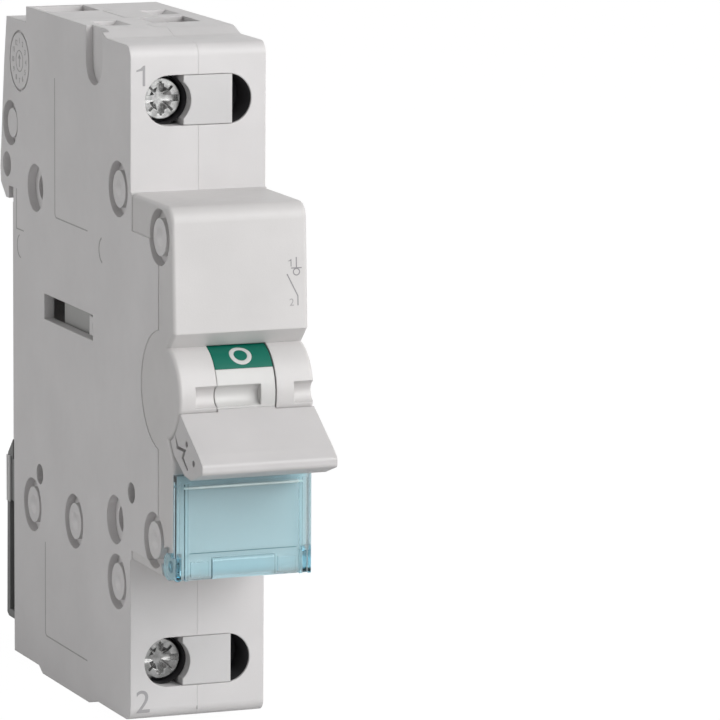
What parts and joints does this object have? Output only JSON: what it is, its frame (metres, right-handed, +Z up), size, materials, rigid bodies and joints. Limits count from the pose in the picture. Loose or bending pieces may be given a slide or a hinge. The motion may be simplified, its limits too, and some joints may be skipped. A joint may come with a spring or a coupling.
{
  "type": "din rail switch disconnector",
  "caption": "Slim one-pole rail-mounted switch disconnector with a broad toggle, green flag window, clear label cover, screw terminals and a sprung rail clip.",
  "frame": {"origin": "centre of the face that sits on the rail, at the rail's middle height", "axes": "+Z up along the tall side, +X to the right across the narrow side, -Y out of the front"},
  "size_m": [0.0176, 0.0747, 0.0852],
  "materials": {
    "shell_grey": "light warm grey, fine moulded texture",
    "fascia_grey": "light warm grey, satin",
    "handle_grey": "mid grey, satin",
    "rotor_white": "white, satin",
    "flag_green": "green, satin",
    "flag_red": "red, satin",
    "spring_steel": "drawn wire",
    "carriage_plastic": "ivory moulded plastic",
    "copper": "bright copper strip",
    "silver": "silver contact face",
    "screw_nickel": "nickel plated, turned",
    "cage_steel": "zinc plated",
    "insert_grey": "light grey, satin",
    "clear_cover": "clear plastic with a blue tint",
    "clip_plastic": "dark grey moulded plastic",
    "stake_plastic": "light warm grey, satin"
  },
  "bodies": {
    "housing": {"housing_left": "shell_grey", "housing_right": "shell_grey", "front_fascia": "fascia_grey", "upper_busbar": "copper", "lower_busbar": "copper", "fixed_tips": "silver", "upper_terminal_insert": "insert_grey", "lower_terminal_insert": "insert_grey", "shell_stakes": "stake_plastic", "clip_spring": "spring_steel"},
    "toggle": {"toggle_handle": "handle_grey", "indicator_rotor": "rotor_white", "off_flag": "flag_green", "on_flag": "flag_red", "crank_pin": "spring_steel"},
    "carriage": {"carriage": "carriage_plastic", "bridge_contact": "copper", "bridge_tips": "silver", "contact_spring": "spring_steel"},
    "cover": {"label_cover": "clear_cover"},
    "clip": {"rail_clip": "clip_plastic"},
    "upper_screw": {"upper_terminal_screw": "screw_nickel"},
    "lower_screw": {"lower_terminal_screw": "screw_nickel"},
    "upper_cage": {"upper_clamp_cage": "cage_steel"},
    "lower_cage": {"lower_clamp_cage": "cage_steel"}
  },
  "joints": [
    {"name": "toggle_swing", "type": "hinge", "parent": "housing", "child": "toggle", "pos_m": [0, -0.056, 0.0002], "axis": [-1, 0, 0], "range_deg": [0, 76]},
    {"name": "carriage_slide", "type": "slide", "parent": "housing", "child": "carriage", "axis": [0, 1, 0], "range_m": [0, 0.00394]},
    {"name": "cover_swing", "type": "hinge", "parent": "housing", "child": "cover", "pos_m": [0, -0.0581, -0.0209], "axis": [1, 0, 0], "range_deg": [0, 90]},
    {"name": "clip_slide", "type": "slide", "parent": "housing", "child": "clip", "axis": [0, 0, -1], "range_m": [0, 0.0035], "stiffness_N_per_m": 900, "springref_m": -0.002, "deforming": ["clip_spring"]},
    {"name": "upper_screw_turn", "type": "hinge", "parent": "housing", "child": "upper_screw", "pos_m": [-0.00395, -0.0412, 0.0339], "axis": [0, 1, 0], "range_deg": [0, 2726]},
    {"name": "lower_screw_turn", "type": "hinge", "parent": "housing", "child": "lower_screw", "pos_m": [-0.00395, -0.0412, -0.0357], "axis": [0, 1, 0], "range_deg": [0, 2726]},
    {"name": "upper_cage_slide", "type": "slide", "parent": "housing", "child": "upper_cage", "axis": [0, -1, 0], "range_m": [0, 0.0053]},
    {"name": "lower_cage_slide", "type": "slide", "parent": "housing", "child": "lower_cage", "axis": [0, -1, 0], "range_m": [0, 0.0053]}
  ],
  "couplings": [
    {"joint": "toggle_swing", "follows": "carriage_slide", "rad_per_m": 336.65},
    {"joint": "upper_screw_turn", "follows": "upper_cage_slide", "rad_per_m": 8976},
    {"joint": "lower_screw_turn", "follows": "lower_cage_slide", "rad_per_m": 8976}
  ]
}
